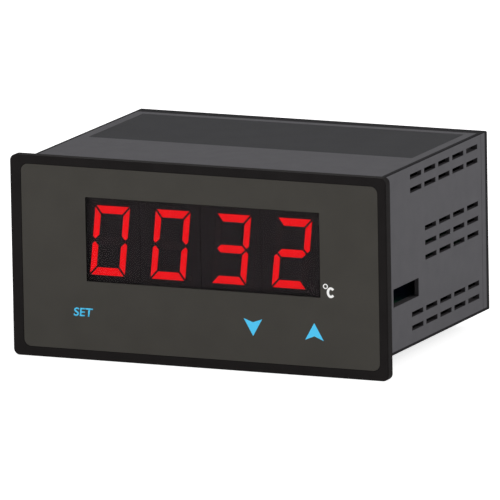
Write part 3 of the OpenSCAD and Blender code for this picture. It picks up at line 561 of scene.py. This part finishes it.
def bar_name(faces, centre):
    """Which bar of a digit these faces make up, from where their middle lies."""
    corners = [v.co for face in faces for v in face.verts]
    mean = sum(corners, Vector()) / len(corners) - centre
    x, z = (mean.x - mean.z * math.tan(DIGIT_LEAN)) / MM, mean.z / MM
    point_from, level_within, middle_within = 9.5, 3, 5
    if x > point_from:
        return "point"
    if abs(x) < level_within:
        return "top" if z > middle_within else "bottom" if z < -middle_within else "middle"
    return ("upper" if z > 0 else "lower") + ("_left" if x < 0 else "_right")


def light_bars(index, figure, lit, dark):
    """Bars with softened edges in place of a digit's plain ones, lit to show a figure."""
    source = f"digit_{index}_segments"
    low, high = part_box(f"digit_{index}_housing")
    bm = bmesh.new()
    bm.from_mesh(NODES[source].data)
    bmesh.ops.remove_doubles(bm, verts=bm.verts, dist=1e-6)
    bmesh.ops.dissolve_limit(bm, angle_limit=math.radians(1), verts=bm.verts, edges=bm.edges)
    # Only a bar's front glows; its sides stay dark
    for faces in islands(bm):
        on = bar_name(faces, (low + high) / 2) in BARS[figure]
        for face in faces:
            to_front = face.normal.y < -0.5
            face.material_index = 0 if on and to_front else 1
            face.smooth = False
    mesh = bpy.data.meshes.new(f"digit_{index}_bars")
    bm.to_mesh(mesh)
    bm.free()
    mesh.materials.append(lit)
    mesh.materials.append(dark)
    piece = add_mesh(f"digit_{index}_bars", mesh)
    soften = piece.modifiers.new("soften", "BEVEL")
    soften.width = BAR_SOFTENING * MM
    soften.material = 1
    soften.use_clamp_overlap = False
    soften.segments = 2
    soften.limit_method = "ANGLE"
    soften.angle_limit = math.radians(50)
    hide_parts(source)


lit_material, dark_material = lit_bar(), dark_bar()
for i, figure in enumerate(READING, 1):
    light_bars(i, figure, lit_material, dark_material)


def text_mesh(text, bolder):
    """Flat lettering, filled, with its lower left corner at the origin."""
    curve = bpy.data.curves.new("text", "FONT")
    curve.body = text
    curve.offset = bolder
    curve.resolution_u = 6
    holder = bpy.data.objects.new("text", curve)
    bpy.context.scene.collection.objects.link(holder)
    bpy.context.view_layer.update()
    graph = bpy.context.evaluated_depsgraph_get()
    mesh = bpy.data.meshes.new_from_object(holder.evaluated_get(graph))
    bpy.data.objects.remove(holder)
    bpy.data.curves.remove(curve)
    xs = [v.co.x for v in mesh.vertices]
    ys = [v.co.y for v in mesh.vertices]
    mesh.transform(Matrix.Translation((-min(xs), -min(ys), 0)))
    return mesh, max(xs) - min(xs), max(ys) - min(ys)


def outline_mesh(loops):
    """A flat filled shape from closed loops; later loops are holes."""
    bm = bmesh.new()
    edges = []
    for loop in loops:
        verts = [bm.verts.new((x, y, 0)) for x, y in loop]
        edges += [bm.edges.new((verts[i - 1], verts[i])) for i in range(len(verts))]
    bmesh.ops.triangle_fill(bm, edges=edges, use_beauty=True)
    mesh = bpy.data.meshes.new("outline")
    bm.to_mesh(mesh)
    bm.free()
    return mesh


def printed(name, mesh, frame_matrix, material, thickness=0.02):
    """Ink laid on a face: the flat mesh, in millimetres, is placed and given a thickness."""
    bm = bmesh.new()
    bm.from_mesh(mesh)
    bmesh.ops.remove_doubles(bm, verts=bm.verts, dist=1e-4)
    bmesh.ops.recalc_face_normals(bm, faces=bm.faces)
    if sum(face.normal.z for face in bm.faces) < 0:
        bmesh.ops.reverse_faces(bm, faces=bm.faces)
    top = bmesh.ops.extrude_face_region(bm, geom=bm.faces[:])
    moved = [v for v in top["geom"] if isinstance(v, bmesh.types.BMVert)]
    bmesh.ops.translate(bm, vec=(0, 0, thickness), verts=moved)
    bmesh.ops.recalc_face_normals(bm, faces=bm.faces)
    bmesh.ops.transform(bm, matrix=frame_matrix @ Matrix.Scale(MM, 4), verts=bm.verts)
    solid = bpy.data.meshes.new(name)
    bm.to_mesh(solid)
    bm.free()
    bpy.data.meshes.remove(mesh)
    solid.materials.append(material)
    return add_mesh(name, solid)


def facing_front(x, y, z):
    """Places a flat shape on a face that looks towards the front."""
    turn = Matrix(((1, 0, 0), (0, 0, -1), (0, 1, 0))).to_4x4()
    return Matrix.Translation(Vector((x, y, z)) * MM) @ turn


def facing_back(x, y, z):
    """Places a flat shape on a face that looks towards the back."""
    turn = Matrix(((-1, 0, 0), (0, 0, 1), (0, 1, 0))).to_4x4()
    return Matrix.Translation(Vector((x, y, z)) * MM) @ turn


def fitted_text(text, height, width=None, lean=0.0, bolder=0.0):
    """Lettering scaled to a height, and to a width if one is given, centred, and sheared."""
    mesh, w, h = text_mesh(text, bolder)
    width = width or w * height / h
    shear = Matrix(((width / w, lean * height / h, 0, 0), (0, height / h, 0, 0),
                    (0, 0, 1, 0), (0, 0, 0, 1)))
    mesh.transform(Matrix.Translation((-width / 2 - lean * height / 2, -height / 2, 0)) @ shear)
    return mesh


def ring(radius, stroke, steps=40):
    """A round line: its outer edge and its hole."""
    angles = [math.tau * i / steps for i in range(steps)]
    return [[(r * math.cos(a), r * math.sin(a)) for a in angles] for r in (radius, radius - stroke)]


def round_letter_c(width, height, stroke, opening=38, steps=36):
    """The letter C as one even stroke round an ellipse, open to the right."""
    start = math.radians(opening)
    angles = [start + (math.tau - 2 * start) * i / steps for i in range(steps + 1)]
    outer = [(width / 2 * math.cos(a), height / 2 * math.sin(a)) for a in angles]
    inner = [((width / 2 - stroke) * math.cos(a), (height / 2 - stroke * 0.9) * math.sin(a))
             for a in reversed(angles)]
    return [outer + inner]


def arrow(way, notch, half_width=4.7, half_height=4.1):
    """An arrowhead with a notched foot that points up for 1 and down for -1."""
    foot = -way * half_height
    return outline_mesh([[(-half_width, foot), (0, -way * notch), (half_width, foot), (0, -foot)]])


film_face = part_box("front_film")[0].y / MM
light_blue = ink("light_blue_ink", srgb(80, 203, 250))
white_ink = ink("white_ink", srgb(244, 244, 242))
# For each key, its mark and how far that stands to the right of and above the button's middle
key_legends = {
    "set": (fitted_text("SET", height=4.1, width=9.6, lean=0.12, bolder=0.018), 0, 0.2),
    "down": (arrow(-1, notch=2.4), 0.5, -1.2),
    "up": (arrow(1, notch=2.2), 0.7, -1.2),
}
for key, (mesh, aside, rise) in key_legends.items():
    low, high = (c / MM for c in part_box(key + "_button"))
    button = (low + high) / 2
    place = facing_front(button.x + aside, film_face, button.z + rise)
    printed(f"legend_{key}", mesh, place, light_blue)
degree_x, degree_z = 64.7, -4.8
celsius_x, celsius_z = 67.4, -7.6
printed("legend_degree", outline_mesh(ring(radius=1.25, stroke=0.5)),
        facing_front(degree_x, film_face, degree_z), white_ink)
printed("legend_celsius", outline_mesh(round_letter_c(width=4.2, height=5.1, stroke=1.25)),
        facing_front(celsius_x, film_face, celsius_z), white_ink)

cover_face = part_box("rear_cover")[1].y / MM
ways, way_pitch = 10, 7.62
number_height, number_gap = 2.2, 2.6
for block, first in (("terminal_block_right", 1), ("terminal_block_left", ways + 1)):
    low, high = (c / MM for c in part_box(block))
    for i in range(ways):
        x = (low.x + high.x) / 2 + ((ways - 1) / 2 - i) * way_pitch
        place = facing_back(x, cover_face, high.z + number_gap)
        mesh = fitted_text(str(first + i), number_height)
        printed(f"terminal_number_{first + i}", mesh, place, white_ink)


# ---- Stage, light and camera ----


def seen_directly(tree):
    """1 for rays from the camera, off a mirror or through glass, and 0 for those that light."""
    path = tree.nodes.new("ShaderNodeLightPath")
    value = path.outputs["Is Camera Ray"]
    for other in ("Is Glossy Ray", "Is Transmission Ray"):
        node = tree.nodes.new("ShaderNodeMath")
        node.operation = "MAXIMUM"
        tree.links.new(value, node.inputs[0])
        tree.links.new(path.outputs[other], node.inputs[1])
        value = node.outputs[0]
    return value


def make_floor(height, size=14, glow=0.72):
    """A pale floor that is seen as white and still takes the object's shadow."""
    bpy.ops.mesh.primitive_plane_add(size=size, location=(0, 0, height))
    floor = bpy.context.object
    floor.name = "floor"
    material = bpy.data.materials.new("pale_floor")
    material.use_nodes = True
    tree = material.node_tree
    shader = tree.nodes["Principled BSDF"]
    shader.inputs["Base Color"].default_value = (0.82, 0.82, 0.82, 1)
    shader.inputs["Roughness"].default_value = 0.9
    shader.inputs["Specular IOR Level"].default_value = 0.0
    shader.inputs["Emission Color"].default_value = (1, 1, 1, 1)
    lift = tree.nodes.new("ShaderNodeMath")
    lift.operation = "MULTIPLY"
    lift.inputs[1].default_value = glow
    tree.links.new(seen_directly(tree), lift.inputs[0])
    tree.links.new(lift.outputs[0], shader.inputs["Emission Strength"])
    floor.data.materials.append(material)


def make_world(strength):
    """Even white light of a given strength, seen as white."""
    world = bpy.data.worlds.new("studio")
    bpy.context.scene.world = world
    world.use_nodes = True
    tree = world.node_tree
    background = tree.nodes["Background"]
    background.inputs["Color"].default_value = (1, 1, 1, 1)
    level = tree.nodes.new("ShaderNodeMapRange")
    level.inputs["To Min"].default_value = strength
    level.inputs["To Max"].default_value = 1.0
    tree.links.new(seen_directly(tree), level.inputs[0])
    tree.links.new(level.outputs[0], background.inputs["Strength"])


def add_light(name, place, target, size, power):
    """A round soft lamp that faces the target."""
    light = bpy.data.lights.new(name, "AREA")
    light.shape = "DISK"
    light.size = size
    light.energy = power
    holder = bpy.data.objects.new(name, light)
    bpy.context.scene.collection.objects.link(holder)
    holder.location = place
    holder.rotation_mode = "QUATERNION"
    holder.rotation_quaternion = (Vector(target) - Vector(place)).to_track_quat("-Z", "Y")


def make_camera(azimuth, elevation, roll, distance, lens, aside, above):
    """A long-lens camera that looks along a line moved aside and up from the object's origin."""
    a, e, r = (math.radians(v) for v in (azimuth, elevation, roll))
    forward = Vector((-math.sin(a) * math.cos(e), math.cos(a) * math.cos(e), -math.sin(e)))
    level = Vector((math.cos(a), math.sin(a), 0))
    upright = level.cross(forward)
    right = math.cos(r) * level + math.sin(r) * upright
    up = math.cos(r) * upright - math.sin(r) * level
    camera = bpy.data.objects.new("camera", bpy.data.cameras.new("camera"))
    bpy.context.scene.collection.objects.link(camera)
    camera.data.sensor_width = 36
    camera.data.lens = lens
    camera.data.clip_start = 0.1
    camera.data.clip_end = 50
    turn = Matrix((right, up, -forward)).transposed().to_4x4()
    place = right * aside + up * above - forward * distance
    camera.matrix_world = Matrix.Translation(place) @ turn
    bpy.context.scene.camera = camera


floor_gap = 0.1 * MM
make_floor(CAD_BOX[0].z - floor_gap)
make_world(0.5)
middle = (CAD_BOX[0] + CAD_BOX[1]) / 2
add_light("key", (-0.9, -1.9, 0.9), middle, size=1.2, power=25)
add_light("side", (1.6, 0.9, 0.8), middle, size=1.2, power=17.5)
make_camera(azimuth=24.103, elevation=11.242, roll=-1.013, distance=6.0544, lens=933.5,
            aside=0.0222, above=0.0072)
bpy.context.scene.view_settings.view_transform = "Standard"
